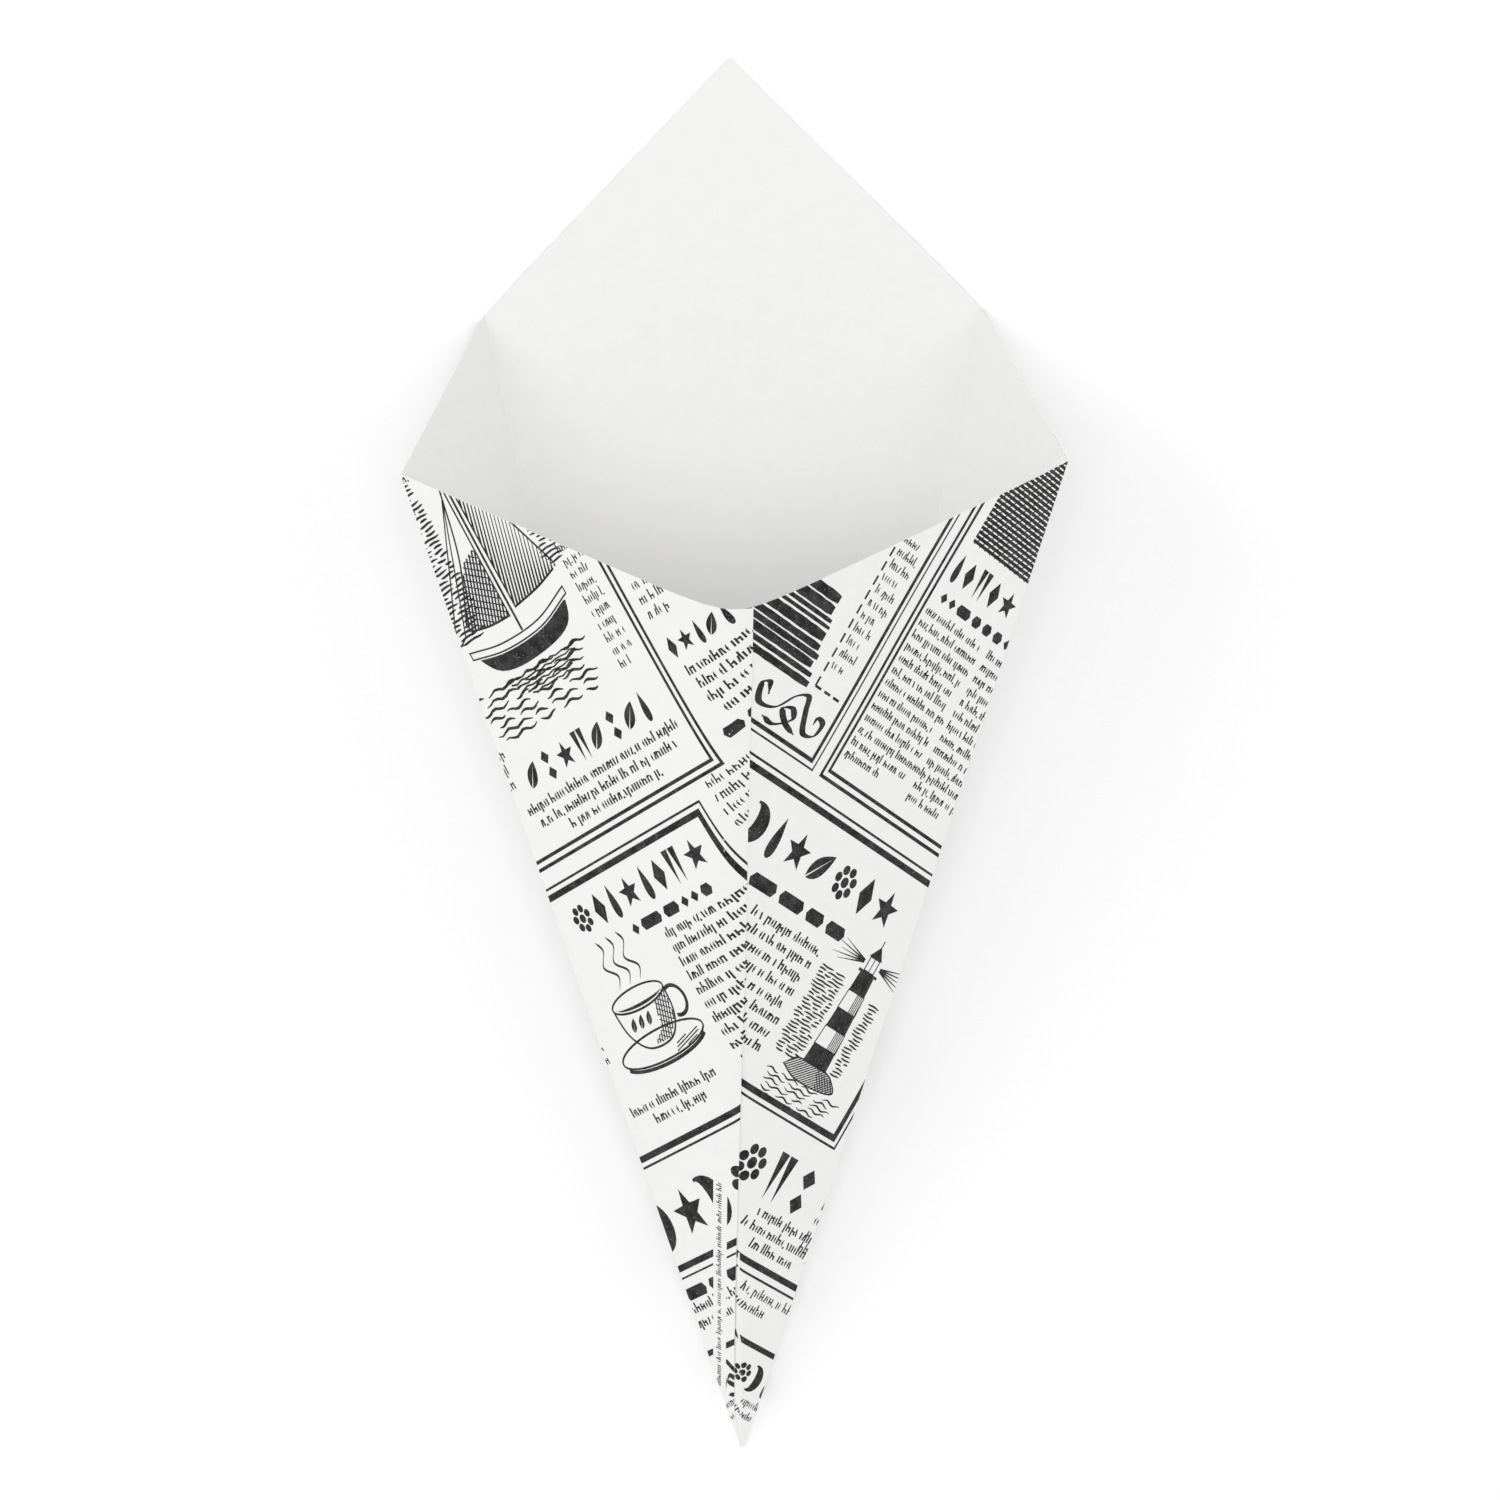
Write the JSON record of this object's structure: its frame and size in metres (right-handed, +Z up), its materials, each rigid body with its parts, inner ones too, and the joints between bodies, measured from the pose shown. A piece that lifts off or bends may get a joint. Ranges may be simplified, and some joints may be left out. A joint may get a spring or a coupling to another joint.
{
  "type": "paper cone bag",
  "caption": "Printed paper cone bag, folded and glued from one sheet, opened and lying on its flat back panel with a pointed top and a V-shaped mouth.",
  "frame": {"origin": "centre of the bounding box, on the plane that the back panel lies on", "axes": "+Y runs along the bag from the closed tip to the pointed top of the back panel, +Z is up from the back panel through the opened cone, and +X is to the right seen from above"},
  "size_m": [0.1356, 0.2916, 0.0912],
  "materials": {
    "paper": "smooth matt white paper, printed in black outside and plain inside"
  },
  "bodies": {
    "root": {"paper_cone": "paper"}
  },
  "joints": []
}
